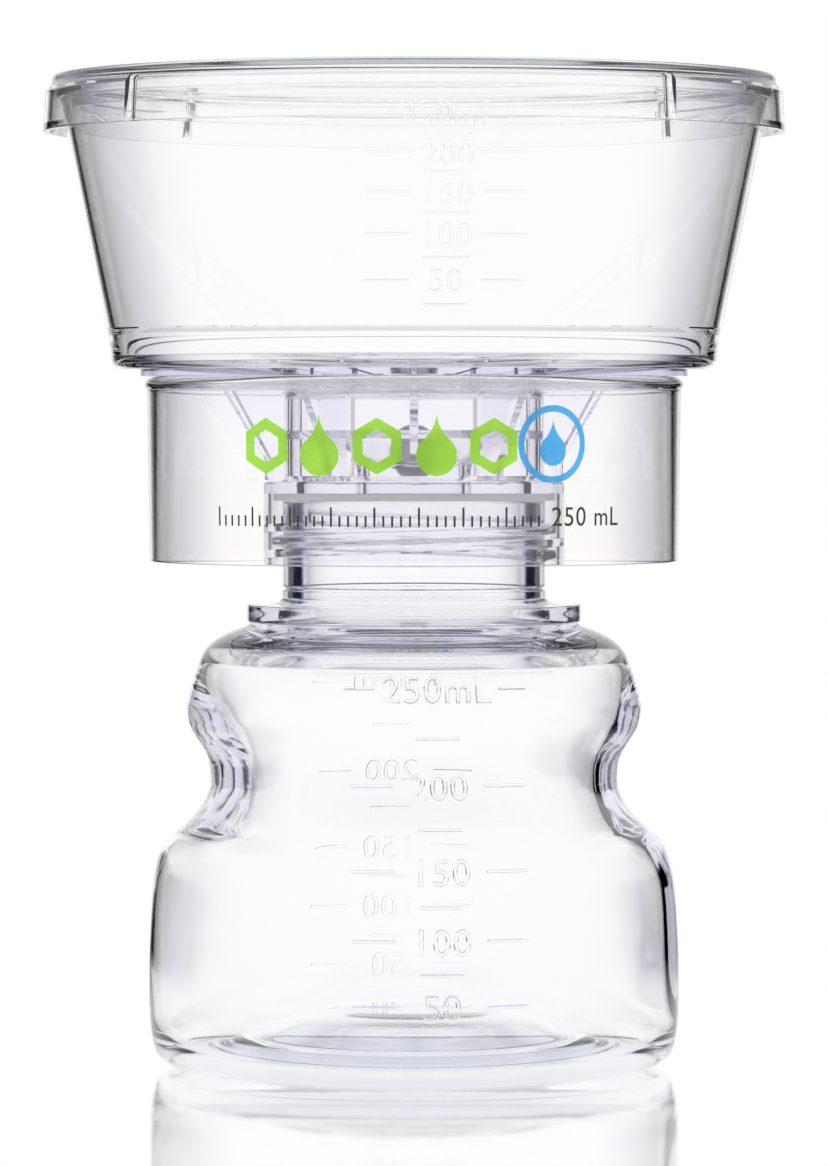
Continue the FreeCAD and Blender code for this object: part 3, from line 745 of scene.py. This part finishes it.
rows += rounded([(24.9, 69.75), (24.6, 69.75, 0.1), (24.6, 69.95, 0.1), (RING_R, 69.95, 0.15), (RING_R, RING_Z1, 0.25),
                 (21.9, RING_Z1 + 0.15, 0.5), (20.75, 73.5, 0.9), (20.75, 74.8, 0.1), (20.35, 74.95, 0.08), (20.35, 75.25, 0.08),
                 (NECK_R, 75.5, 0.12), (NECK_R, 77.9)])[1:]
for z in np.arange(78.1, 88.31, 0.17):
    rows.append(Row(thread_radius(NECK_R, 22.3, 1.15, 0.45, 80.7, 1.5, -20.0 + BOTTLE_TURN, z, deg_b), z))
rows += rounded([(NECK_R, 88.35), (NECK_R, NECK_TOP, 0.6), (NECK_BORE_R, NECK_TOP, 0.35), (NECK_BORE_R, 88.0)])
rows += [Row(NECK_BORE_R, z, (-1.0, 0.0)) for z in (84.0, 80.0, 76.0, 74.0)]
bore = spline_through([(NECK_BORE_R, 72.9), (18.6, 70.4), (20.6, 68.3), (23.6, 66.9), (26.0, 66.4), (27.8, 66.22)], 0.45)
rows += walk_rows(bore[:, ::-1])[:-1]
rows += walk_rows(top_in[::-1])[:-1]
for z in np.linspace(MID_Z1, MID_Z0, 44):
    rows.append(Row(mid_radius(az_b, z, WALL), z))
for row in walk_rows(low_in[::-1])[1:-1]:
    rows.append(row if row.z < 5.9 else Row(row.r - thicker(az_b, row.z), row.z))
inner_base = spline_through([(34.4, 1.6), (33.2, 1.5), (31.9, 1.75), (30.4, 2.3), (28.2, 3.75), (23.0, 5.9), (18.2, 8.05), (15.4, 8.75), (12.5, 8.9)], 0.55)
rows += walk_rows(inner_base[:, ::-1])
rows += [Row(8.0, 8.82, (0.0, 1.0)), Row(4.0, 8.77, (0.0, 1.0)), Row(0.0, 8.75, (0.0, 1.0))]

marks_scale = [(12.7, "50"), (22.7, "100"), (33.2, "150"), (45.9, "200"), (60.6, "250mL")]
marks_back = [(12.3, "50"), (21.9, "100"), (31.8, "150"), (44.1, "200"), (59.8, "250mL")]
REL_W = 0.36


def scale_marks(az0, side_x, side_w, mid_w, zs):
    marks = []
    for z, label in zs:
        marks.append((rings_of(text_outlines(label, 4.0), REL_W), az0, z))
        sx, sw = (side_x, side_w) if label != "250mL" else (side_x + 2.6, 4.6)
        for s in (-1, 1):
            marks.append((rings_of([bar(sw, 0.42, s * (sx + sw / 2), 0.15)], 0.24), az0, z))
    for (z0, _), (z1, _) in zip(zs, zs[1:]):
        marks.append((rings_of([bar(mid_w, 0.42)], 0.24), az0, (z0 + z1) / 2))
    return marks


HALF = int(round(33.0 / (360.0 / COLS)))
bottle_patches = []
for az0 in (0.0, 180.0):
    c = int(round(az0 / (360.0 / COLS)))
    p = relief(scale_marks(az0, 7.0, 6.6, 6.6, marks_scale if az0 == 0.0 else marks_back), i_patch0, i_patch1, c - HALF, c + HALF, 0.52 if az0 == 0.0 else 0.20, bottle_place)
    p["width"] = REL_W
    bottle_patches.append(p)
bottle = turned("receiver_bottle_clear", rows, "bottle", mat_bottle, turn=BOTTLE_TURN, closed=False, patches=bottle_patches,
                replaced=["receiver_bottle"])


# ---------------------------------------------------------------- lid
NOTCHES = [-48.0, 42.0, 132.0, 222.0]
azs = set(np.round(np.arange(COLS) * 360.0 / COLS, 4).tolist())
for n in NOTCHES:
    azs = {a for a in azs if abs((a - n + 180) % 360 - 180) > 2.2}
    azs |= set(np.round((n + np.linspace(-2.1, 2.1, 29)) % 360.0, 4).tolist())
lid_az = np.array(sorted(azs))


def notch_push(half, depth, r):
    """How far a notch moves the wall at each column: half its width and depth in mm, at radius r."""
    d = np.zeros(len(lid_az))
    for n in NOTCHES:
        x = np.radians((lid_az - n + 180) % 360 - 180) * r
        d = np.maximum(d, depth * np.sqrt(np.clip(1 - (x / half) ** 2, 0, 1)))
    return d


lid_out = rounded([(0.0, 154.1), (20.0, 154.1), (45.0, 154.1), (52.4, 154.1, 0.3), (52.4, 150.0, 0.2), (53.4, 150.0, 0.2), (53.4, 153.35, 0.15),
                   (56.5, 153.35, 0.6), (56.85, 147.6, 0.3), (57.05, 146.5, 0.12), (58.1, 146.5, 0.2), (57.75, 152.6, 0.5), (56.75, 154.0, 0.25),
                   (56.6, 155.3, 0.8), (45.0, 155.3), (20.0, 155.3), (0.0, 155.3)])
for row in lid_out:
    if row.r > 55.5 and row.z < 153.3:
        zfade = float(np.clip((153.2 - row.z) / 0.9, 0, 1) * np.clip((row.z - 147.3) / 1.1, 0, 1)) ** 0.5
        if row.na is not None and row.na[0] < -0.5:
            row.r = row.r - notch_push(0.95, 0.85, 57.0) * zfade
        elif row.na is not None and row.na[0] > 0.5:
            row.r = row.r - notch_push(0.75, 0.7, 58.0) * zfade
lid = turned("lid_clear", lid_out, "lid", mat_lid, closed=False, replaced=["lid"], azs=lid_az)


# ---------------------------------------------------------------- funnel
def wall_out(z):
    return 48.2 + (55.45 - 48.2) * (z - 115.8) / (151.3 - 115.8)


wall_n = unit2((151.3 - 115.8, -(55.45 - 48.2)))


def funnel_place(az, z):
    az, z = np.asarray(az, float), np.asarray(z, float)
    r, f = wall_out(z), np.radians(az - 90.0)
    p = np.stack([r * np.cos(f), r * np.sin(f), z], -1)
    n = np.stack([wall_n[0] * np.cos(f), wall_n[0] * np.sin(f), np.full(np.shape(az), wall_n[1])], -1)
    return p, n, r


lower = rounded([(45.6, 110.9), (43.0, 110.9, 0.15), (43.0, 109.4, 0.3), (45.7, 109.4, "s"), (46.6, 109.62, "s"), (47.15, 110.15, "s"), (47.42, 110.9, "s"),
                 (47.8, 114.65, 0.08), (47.9, 114.85, 0.08), (47.95, 115.55, 0.1), (48.2, 115.8, 0.12), (wall_out(117.5), 117.5)])[1:]
wall = [Row(wall_out(z), z, tuple(wall_n)) for z in np.linspace(118.3, 150.3, 42)]
upper = rounded([(wall_out(150.6), 150.6), (wall_out(151.35), 151.35, 0.35), (56.0, 151.5, 0.12), (56.0, 153.3, 0.3), (54.85, 153.3, 0.1), (54.6, 153.05, 0.1),
                 (wall_out(151.9) - 1.3, 151.9, 0.1), (46.9, 115.8, 0.3), (46.7, 114.9, 0.3), (46.3, 111.7, 0.6), (45.6, 110.9, 0.4), (44.4, 110.9)])[:-1]
funnel_rows = lower + wall + upper
j0 = len(lower)
f_marks = []
F_AZ = 5.4
f_scale = [(122.2, "50"), (129.1, "100"), (135.4, "150"), (141.3, "200"), (147.0, "250mL")]
for z, label in f_scale:
    f_marks.append((rings_of(text_outlines(label, 3.5), 0.22), F_AZ, z))
    for s in (-1, 1):
        f_marks.append((rings_of([bar(6.8, 0.34, s * (5.4 + 3.4 + (4.0 if label == "250mL" else 0.0)), 0.1)], 0.2), F_AZ, z))
for z in (118.7, 125.7, 132.3, 138.4, 144.2):
    f_marks.append((rings_of([bar(6.9, 0.34)], 0.2), F_AZ, z))
c = int(round(F_AZ / (360.0 / COLS)))
HALF_F = int(round(24.0 / (360.0 / COLS)))
fp = relief(f_marks, j0, j0 + 41, c - HALF_F, c + HALF_F, 0.14, funnel_place)
fp["width"] = 0.22
funnel = turned("funnel_clear", funnel_rows, "head", mat_funnel, closed=True, patches=[fp], replaced=["funnel"])


# ---------------------------------------------------------------- skirt, label, membrane and seal
def skirt_radius(z):
    return 41.45 + (41.9 - 41.45) * (np.asarray(z, float) - 79.6) / (106.45 - 79.6)


skirt_rows = rounded([(38.0, 106.85, 0.1), (39.5, 106.85, "s"), (40.05, 106.7, "s"), (40.32, 106.4, "s"), (40.4, 106.0, "s"), (40.45, 79.4, 0.12), (41.45, 79.4, 0.25),
                      (41.9, 106.35, 0.05), (42.25, 106.75, 0.15), (42.25, 107.1, "s"), (42.1, 107.5, "s"), (41.65, 107.95, "s"), (41.0, 108.22, "s"),
                      (40.2, 108.3, "s"), (38.0, 108.3, 0.1)], closed=True)
skirt = turned("skirt_clear", skirt_rows, "head", mat_skirt, replaced=["skirt"])

mem_rows = rounded([(0.0, 110.92), (30.0, 110.92), (44.8, 110.92, 0.05), (44.8, 111.12, 0.05), (30.0, 111.12), (0.0, 111.12)])
membrane = turned("membrane_disc", mem_rows, "head", mat_membrane, cols=180, closed=False, replaced=["membrane"])

seal_rows = rounded([(18.0, 89.25, 0.12), (22.1, 89.25, 0.12), (22.1, 90.35, 0.12), (18.0, 90.35, 0.12)], closed=True)
seal = turned("neck_seal_ring", seal_rows, "seal", mat_seal, cols=180, replaced=["neck_seal"])

PORT_Z = 97.0
barb = [(1.5, 34.5, 0.1), (2.28, 34.5, 0.2), (2.28, 43.45, 0.1), (4.6, 43.45, 0.2), (4.6, 44.75, 0.25), (4.35, 45.0, 0.2), (3.0, 45.0, 0.3), (3.0, 50.0, 0.08)]
for k in range(3):
    y = 50.0 + 4.0 * k
    barb += [(3.9, y + 0.05, 0.08), (3.9, y + 0.45, 0.15), (2.6 if k == 2 else 3.0, y + 4.0, 0.08 if k < 2 else 0.25)]
barb += [(1.5, 62.0, 0.15)]
nozzle = turned("hose_barb_nozzle", rounded(barb, closed=True), "head", mat_nozzle, cols=96, replaced=["hose_barb"], lie_at=PORT_Z)
plug = rounded([(0.0, 30.1), (2.28, 30.1, 0.35), (2.28, 34.2, 0.35), (0.0, 34.2)])
wad = turned("port_filter_wad", plug, "head", mat_wad, cols=64, closed=False, replaced=["port_filter"], lie_at=PORT_Z)


def even_odd(loops, q):
    """Which points of q lie inside the outlines, counted even and odd."""
    inside = np.zeros(len(q), bool)
    for l in loops:
        a, b = l, np.roll(l, -1, 0)
        for (x0, y0), (x1, y1) in zip(a, b):
            cross = (y0 > q[:, 1]) != (y1 > q[:, 1])
            with np.errstate(divide="ignore", invalid="ignore"):
                xi = x0 + (q[:, 1] - y0) * (x1 - x0) / (y1 - y0)
            inside ^= cross & (q[:, 0] < xi)
    return inside


def wrapped(name, loops, az0, t0, t1, body, material, replaced=(), step=1.2, radius=skirt_radius):
    """A thin closed piece laid round the skirt: outlines in mm, x along the arc from azimuth az0 and y the height."""
    loops = [cut_long(l, step) for l in loops]
    pts, edges = [], []
    for l in loops:
        k0 = len(pts)
        pts += l.tolist()
        edges += [(k0 + k, k0 + (k + 1) % len(l)) for k in range(len(l))]
    ring = np.array(pts)
    lo, hi = ring.min(0), ring.max(0)
    gx, gy = np.meshgrid(np.arange(lo[0] + step / 2, hi[0], step), np.arange(lo[1] + step / 2, hi[1], step))
    g = np.stack([gx.ravel(), gy.ravel()], 1)
    g = g[even_odd(loops, g)] if len(g) else g
    keep = [q for q in g if np.linalg.norm(ring - q, axis=1).min() > 0.35 * step]
    pts += [list(q) for q in keep]
    out = delaunay_2d_cdt([Vector(q) for q in pts], edges, [], 0, 1e-5, True)
    co = np.array([[c[0], c[1]] for c in out[0]])
    tri = []
    cen = np.array([co[list(f)].mean(0) for f in out[2]])
    ok = even_odd(loops, cen)
    for f, good in zip(out[2], ok):
        if not good:
            continue
        a, b, c = f
        ar = (co[b] - co[a])[0] * (co[c] - co[a])[1] - (co[c] - co[a])[0] * (co[b] - co[a])[1]
        if abs(ar) < 1e-9:
            continue
        tri.append((a, b, c) if ar > 0 else (a, c, b))
    used = sorted({i for f in tri for i in f})
    m = {v: k for k, v in enumerate(used)}
    co = co[used]
    tri = [tuple(m[i] for i in f) for f in tri]
    r = radius(co[:, 1])
    f = np.radians(az0 - 90.0) + co[:, 0] / 41.7
    def at(t):
        return np.stack([(r + t) * np.cos(f), (r + t) * np.sin(f), co[:, 1]], -1)
    n = len(co)
    verts = np.concatenate([at(t1), at(t0)])
    faces = list(tri) + [(c + n, b + n, a + n) for a, b, c in tri]
    count = {}
    for a, b, c in tri:
        for e in ((a, b), (b, c), (c, a)):
            count[e] = 1
    for a, b in count:
        if (b, a) not in count:
            faces.append((b, a, a + n, b + n))
    ob = add_object(name, verts, faces, body, material, None, replaced, smooth=False)
    return ob


def round_box(x0, y0, x1, y1, r, steps=6):
    pts = []
    for cx, cy, a0 in ((x1 - r, y0 + r, -90), (x1 - r, y1 - r, 0), (x0 + r, y1 - r, 90), (x0 + r, y0 + r, 180)):
        for k in range(steps + 1):
            a = math.radians(a0 + 90.0 * k / steps)
            pts.append((cx + r * math.cos(a), cy + r * math.sin(a)))
    return np.array(pts)


half = math.radians(69.0) * 41.7
label = wrapped("rear_label_film", [round_box(-half, 80.6, half, 93.0, 2.0)], 180.0, 0.02, 0.11, "head", mat_label, ["rear_label"])


def circle(x, y, r, n=48, a0=0.0):
    t = np.radians(a0) + np.arange(n) * 2 * math.pi / n
    return np.stack([x + r * np.cos(t), y + r * np.sin(t)], 1)


def drop(x, y, r, tip):
    """A drop's outline: a circle drawn out to a tip above it."""
    pts = []
    for t in np.linspace(-230, 50, 40):
        pts.append((x + r * math.cos(math.radians(t)), y + r * math.sin(math.radians(t))))
    p0, p1 = np.array(pts[-1]), np.array((x, y + tip))
    d = np.array((-math.sin(math.radians(50)), math.cos(math.radians(50))))
    for k in range(1, 10):
        s = k / 10.0
        c1, c2 = p0 + d * r * 0.55, p1 - np.array((0, 1.0)) * r * 0.35
        pts.append(tuple((1 - s) ** 3 * p0 + 3 * (1 - s) ** 2 * s * c1 + 3 * (1 - s) * s * s * c2 + s**3 * p1))
    left = [(2 * x - q[0], q[1]) for q in pts[40:]][::-1]
    return np.array(pts + [(x, y + tip)] + left)


def bent_bar(x0, y0, x1, y1, w):
    """A round-ended stroke from one point to another."""
    a = math.atan2(y1 - y0, x1 - x0)
    pts = []
    for t in np.linspace(-90, 90, 9):
        pts.append((x1 + w / 2 * math.cos(a + math.radians(t)), y1 + w / 2 * math.sin(a + math.radians(t))))
    for t in np.linspace(90, 270, 9):
        pts.append((x0 + w / 2 * math.cos(a + math.radians(t)), y0 + w / 2 * math.sin(a + math.radians(t))))
    return np.array(pts)


# the front's print: a row of green beads and drops, a blue ring with a drop, and a line of small black marks
green = []
for k, (x, kind) in enumerate(((-23.6, 0), (-14.6, 1), (-5.6, 0), (3.4, 1), (12.2, 0))):
    if kind == 0:
        green += [circle(x, 97.6, 4.3, 6, 30.0), circle(x, 97.6, 2.5, 6, 30.0)]
    else:
        green += [drop(x, 96.2, 3.1, 6.4)]
print_green = wrapped("print_green_marks", green, 0.0, 0.02, 0.05, "head", mat_green, step=0.9)
blue = [circle(22.0, 97.9, 5.9), circle(22.0, 97.9, 4.9), drop(22.0, 96.9, 2.3, 4.8)]
print_blue = wrapped("print_blue_marks", blue, 0.0, 0.02, 0.05, "head", mat_blue, step=0.9)
black = []
x = -33.0
k = 0
while x < 20.5:
    tall = 3.0 if k % 5 == 0 else 1.7
    black.append(round_box(x - 0.16, 85.4, x + 0.16, 85.4 + tall, 0.14, 2))
    x += 1.35
    k += 1
for l in text_outlines("250 mL", 2.9):
    black.append(l + np.array([28.5, 86.9]))
print_black = wrapped("print_black_marks", black, 0.0, 0.02, 0.05, "head", mat_black, step=0.9)


# ---------------------------------------------------------------- filter base: the CAD node itself
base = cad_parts["filter_base"]
base.data.materials.clear()
base.data.materials.append(mat_base)


# ---------------------------------------------------------------- floor, world
me = bpy.data.meshes.new("floor")
me.from_pydata([(-6, -6, 0), (6, -6, 0), (6, 6, 0), (-6, 6, 0)], [], [(0, 1, 2, 3)])
floor = bpy.data.objects.new("floor", me)
sc.collection.objects.link(floor)
floor.location.z = -0.00005
mat = bpy.data.materials.new("floor")
mat.use_nodes = True
nt = mat.node_tree
nt.nodes.clear()
out = nt.nodes.new("ShaderNodeOutputMaterial")
def wmath(op, a, b=None, c=None, clamp=False):
    m = nt.nodes.new("ShaderNodeMath")
    m.operation = op
    m.use_clamp = clamp
    for k, val in enumerate((a, b, c)):
        if val is None:
            continue
        if isinstance(val, (int, float)):
            m.inputs[k].default_value = val
        else:
            nt.links.new(val, m.inputs[k])
    return m.outputs[0]


def steps(fac, stops):
    """A colour ramp from (position, colour) pairs."""
    n = nt.nodes.new("ShaderNodeValToRGB")
    e = n.color_ramp.elements
    while len(e) > 1:
        e.remove(e[-1])
    e[0].position, e[0].color = stops[0][0], (*stops[0][1], 1)
    for pos, col in stops[1:]:
        k = e.new(pos)
        k.color = (*col, 1)
    nt.links.new(fac, n.inputs[0])
    return n.outputs[0]


def blend(fac, a, b):
    m = nt.nodes.new("ShaderNodeMix")
    m.data_type = "RGBA"
    for k, val in ((6, a), (7, b)):
        if isinstance(val, tuple):
            m.inputs[k].default_value = (*val, 1)
        else:
            nt.links.new(val, m.inputs[k])
    if isinstance(fac, (int, float)):
        m.inputs[0].default_value = fac
    else:
        nt.links.new(fac, m.inputs[0])
    return m.outputs[2]


def smooth_range(value, a, b):
    n = nt.nodes.new("ShaderNodeMapRange")
    n.interpolation_type = "SMOOTHSTEP"
    n.inputs["From Min"].default_value, n.inputs["From Max"].default_value = a, b
    nt.links.new(value, n.inputs["Value"])
    return n.outputs[0]


def studio_ring(x, y, level):
    """Light round the set: a bright screen behind each side the object is seen from, with a dark gap between screens.
    Returns what a ray sees straight through the object, and what it sees by way of a reflection. level is 1 near
    the horizon, where two black cards stand beside the back screen."""
    turn = wmath("MULTIPLY", wmath("ARCTAN2", x, y), 180.0 / math.pi)
    share = wmath("FRACT", wmath("ADD", wmath("DIVIDE", turn, 45.0), 16.5))
    off = wmath("MULTIPLY", wmath("ABSOLUTE", wmath("SUBTRACT", share, 0.5)), 2.0)        # 1 is 22.5 degrees from a screen's middle
    g = lambda v: (v, v, v)
    through = steps(off, [(0.0, g(1.0)), (0.5, g(0.985)), (0.7, g(0.95)), (0.85, g(0.88)), (0.93, g(0.76)), (1.0, g(0.66))])
    wide = wmath("DIVIDE", wmath("ABSOLUTE", turn), 180.0)
    d = lambda v: v / 180.0
    card = steps(wide, [(0.0, g(0.0)), (d(31), g(0.0)), (d(34), g(1.0)), (d(60), g(1.0)), (d(64), g(0.0))])
    through = blend(wmath("MULTIPLY", level, card), through, (0.02, 0.02, 0.03))
    mirrored = steps(wide, [(0.0, g(1.0)), (d(16), g(1.0)), (d(18.5), g(0.74)), (d(20.5), (0.12, 0.12, 0.18)), (d(22), g(0.003)), (d(48), g(0.003)), (d(52), (0.03, 0.025, 0.11)),
                            (d(62), (0.08, 0.07, 0.28)), (d(70), (0.26, 0.25, 0.38)), (d(77), g(0.50)), (d(86), g(0.92)), (d(100), g(1.0)), (d(180), g(1.0))])
    return through, mirrored


# the floor: bright near the object, with a painted blue-grey shadow just under it that the camera sees only through the
# plastics, a soft mirror to the camera, and as patterned as the set further out
gl = nt.nodes.new("ShaderNodeBsdfGlossy")
gl.inputs["Color"].default_value = (1, 1, 1, 1)
gl.inputs["Roughness"].default_value = 0.05
geo = nt.nodes.new("ShaderNodeNewGeometry")
sep = nt.nodes.new("ShaderNodeSeparateXYZ")
nt.links.new(geo.outputs["Position"], sep.inputs[0])
far = wmath("SQRT", wmath("ADD", wmath("MULTIPLY", sep.outputs[0], sep.outputs[0]), wmath("MULTIPLY", sep.outputs[1], sep.outputs[1])))
through, mirrored = studio_ring(sep.outputs[0], sep.outputs[1], smooth_range(far, 0.40, 0.70))
ring = smooth_range(far, 0.10, 0.26)
lp = nt.nodes.new("ShaderNodeLightPath")
by_mirror = wmath("GREATER_THAN", lp.outputs["Glossy Depth"], 0.5)
# painted shadow: within 26 to 41 mm of the axis the floor's light fades to a dim blue-grey (0.66, 0.69, 0.80) under the
# bottle
near_light_and_painted_shadow = blend(smooth_range(far, 0.026, 0.041), (0.66, 0.69, 0.80), blend(by_mirror, (0.98, 0.98, 0.98), (0.94, 0.94, 0.94)))
far_light = blend(by_mirror, through, mirrored)
seen = blend(lp.outputs["Is Camera Ray"], blend(ring, near_light_and_painted_shadow, far_light), (1.0, 1.0, 1.0))
em = nt.nodes.new("ShaderNodeEmission")
nt.links.new(seen, em.inputs["Color"])
em.inputs["Strength"].default_value = 1.0
mx = nt.nodes.new("ShaderNodeMixShader")
nt.links.new(wmath("MULTIPLY", lp.outputs["Is Camera Ray"], 0.6), mx.inputs[0])
nt.links.new(em.outputs[0], mx.inputs[1])
nt.links.new(gl.outputs[0], mx.inputs[2])
nt.links.new(mx.outputs[0], out.inputs["Surface"])
me.materials.append(mat)

world = bpy.data.worlds.new("world")
sc.world = world
world.use_nodes = True
nt = world.node_tree
nt.nodes.clear()
out = nt.nodes.new("ShaderNodeOutputWorld")
tc = nt.nodes.new("ShaderNodeTexCoord")
sep = nt.nodes.new("ShaderNodeSeparateXYZ")
nt.links.new(tc.outputs["Generated"], sep.inputs[0])
up = sep.outputs[2]
level = wmath("SUBTRACT", 1.0, smooth_range(wmath("ABSOLUTE", up), 0.12, 0.22))
through, mirrored = studio_ring(sep.outputs[0], sep.outputs[1], level)
lp = nt.nodes.new("ShaderNodeLightPath")
by_mirror = wmath("GREATER_THAN", lp.outputs["Glossy Depth"], 0.5)
g = lambda v: (v, v, v)
top_through = steps(up, [(0.0, g(0.95)), (0.5, g(0.9)), (0.6, g(0.55)), (0.70, g(0.50)), (0.78, g(0.95)), (1.0, g(0.95))])
top_mirrored = steps(up, [(0.0, g(0.9)), (0.5, g(0.88)), (0.6, g(0.30)), (0.70, g(0.30)), (0.76, g(0.95)), (1.0, g(1.0))])
lift = smooth_range(up, 0.20, 0.42)
side_light = blend(by_mirror, through, mirrored)
top_light = blend(by_mirror, top_through, top_mirrored)
other = blend(lift, side_light, top_light)
bg = nt.nodes.new("ShaderNodeBackground")
bg.inputs["Strength"].default_value = 1.0
# the pale set as it shows in the floor
outside = wmath("SUBTRACT", 1.0, wmath("GREATER_THAN", lp.outputs["Transmission Depth"], 0.5))
plain = wmath("MAXIMUM", lp.outputs["Is Camera Ray"], wmath("MULTIPLY", outside, smooth_range(up, 0.06, 0.13)))
nt.links.new(blend(plain, other, (1.0, 1.0, 1.0)), bg.inputs["Color"])
nt.links.new(bg.outputs[0], out.inputs["Surface"])

sc.view_settings.view_transform = "Standard"
sc.view_settings.look = "None"
sc.view_settings.exposure = 0.0
sc.view_settings.gamma = 1.0
sc.cycles.max_bounces = 28
sc.cycles.transmission_bounces = 28
sc.cycles.glossy_bounces = 14
sc.cycles.diffuse_bounces = 3
sc.cycles.adaptive_threshold = 0.1
sc.cycles.transparent_max_bounces = 8
